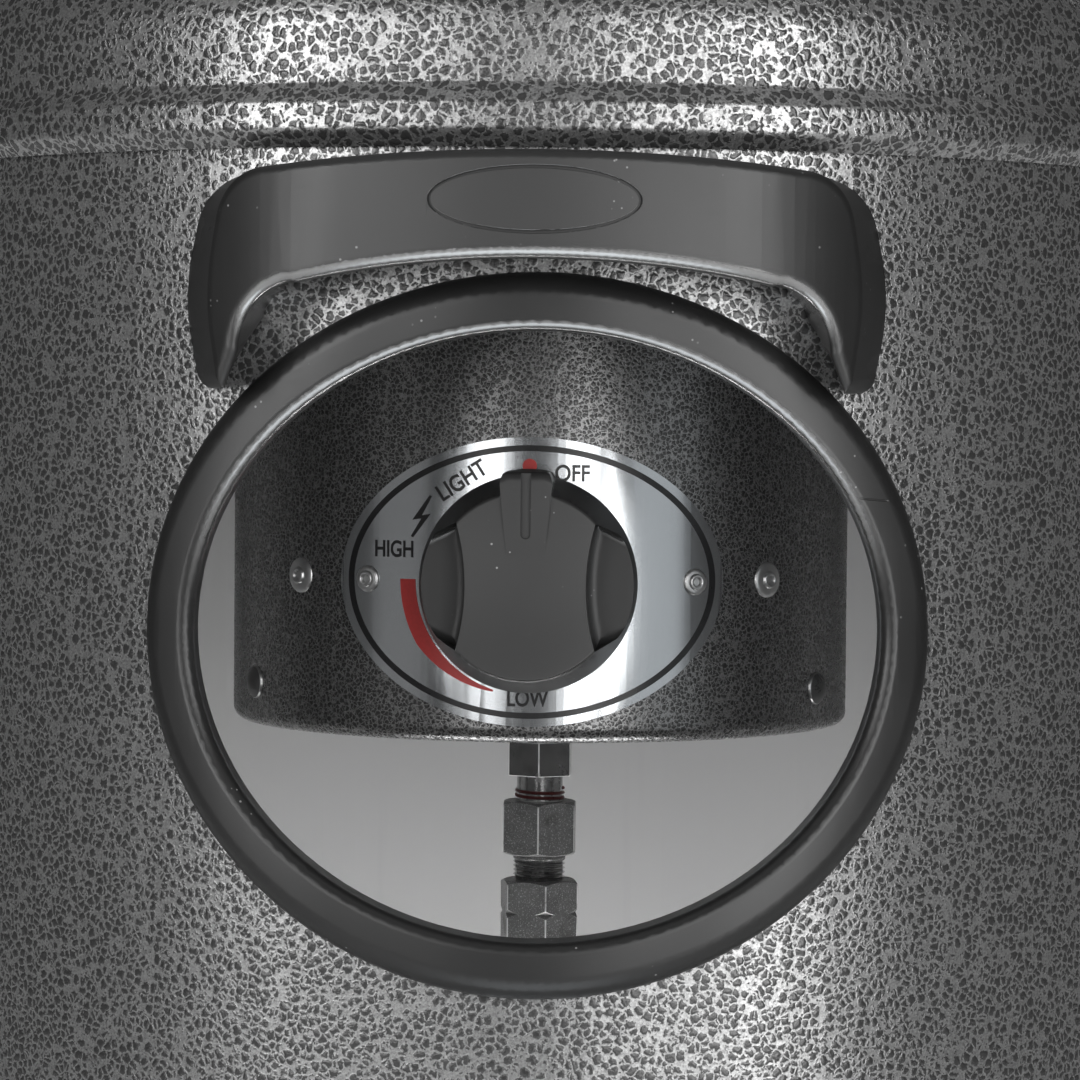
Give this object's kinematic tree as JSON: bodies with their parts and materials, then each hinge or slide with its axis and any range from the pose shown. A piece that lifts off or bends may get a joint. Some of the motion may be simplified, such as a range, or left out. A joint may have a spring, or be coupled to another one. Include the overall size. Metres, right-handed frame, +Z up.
{
  "type": "patio heater",
  "caption": "Free-standing gas patio heater: round tank housing with ringed control opening and lifting handle, push-and-turn knob, post, burner screen and wide reflector.",
  "frame": {"origin": "on the floor under the middle of the base, on the post's axis", "axes": "+Z up along the post, the control opening faces -Y, +X to the right seen from the front"},
  "size_m": [0.8116, 0.8116, 2.2002],
  "materials": {
    "hammered_paint": "hammered grey enamel",
    "box_paint": "fine hammered dark grey enamel",
    "frame_paint": "grey enamel",
    "foot_rubber": "matt black",
    "zinc_fasteners": "zinc plated",
    "plate_steel": "fine brushed",
    "valve_alloy": "die cast",
    "valve_brass": "turned",
    "spindle_steel": "turned",
    "knob_plastic": "fine grained black",
    "igniter_plastic": "black",
    "fitting_steel": "zinc plated, dull",
    "lead_rubber": "black",
    "burner_steel": "heat proof steel",
    "electrode_ceramic": "white ceramic",
    "reflector_aluminium": "satin",
    "trim_rubber": "satin black",
    "handle_plastic": "satin black"
  },
  "bodies": {
    "stand": {"control_box_front": "box_paint", "control_box_rear": "box_paint", "box_floor": "box_paint", "base_plate": "frame_paint", "support_legs": "frame_paint", "post_bracket": "frame_paint", "post": "frame_paint", "head_cup": "frame_paint", "base_feet": "foot_rubber", "leg_bolts": "zinc_fasteners", "post_bolts": "zinc_fasteners", "box_screws": "zinc_fasteners", "bracket_rivets": "zinc_fasteners", "plate_rivets": "zinc_fasteners", "head_screws": "zinc_fasteners", "reflector_washers": "zinc_fasteners", "wing_nuts": "zinc_fasteners", "reflector_studs": "zinc_fasteners", "stud_spacers": "zinc_fasteners", "valve_bracket": "zinc_fasteners", "dial_plate": "plate_steel", "valve_body": "valve_alloy", "magnet_unit": "valve_brass", "burner_jet": "valve_brass", "gas_tube": "valve_brass", "igniter_unit": "igniter_plastic", "tilt_switch": "igniter_plastic", "inlet_fitting": "fitting_steel", "adapter_coupling": "fitting_steel", "union_nut": "fitting_steel", "hose_tail": "fitting_steel", "ignition_lead": "lead_rubber", "thermocouple_lead": "lead_rubber", "burner_mixer": "burner_steel", "burner_plate": "burner_steel", "flame_screen": "burner_steel", "screen_cap": "burner_steel", "electrode": "electrode_ceramic", "thermocouple_tip": "electrode_ceramic", "reflector": "reflector_aluminium"},
    "housing": {"tank_housing": "hammered_paint", "housing_cover": "hammered_paint", "collar_bush": "handle_plastic", "cover_screws": "zinc_fasteners", "opening_trim": "trim_rubber", "front_handle": "handle_plastic", "handle_screws": "zinc_fasteners"},
    "valve_plug": {"valve_plug": "valve_brass"},
    "knob": {"control_knob": "knob_plastic", "valve_spindle": "spindle_steel"}
  },
  "joints": [
    {"name": "housing_lift", "type": "slide", "parent": "stand", "child": "housing", "axis": [0, 0, 1], "range_m": [0, 0.55]},
    {"name": "knob_turn", "type": "hinge", "parent": "stand", "child": "valve_plug", "pos_m": [0, 0, 0.712], "axis": [0, -1, 0], "range_deg": [0, 180]},
    {"name": "knob_push", "type": "slide", "parent": "valve_plug", "child": "knob", "axis": [0, 1, 0], "range_m": [0, 0.006], "stiffness_N_per_m": 600, "springref_m": -0.004}
  ]
}
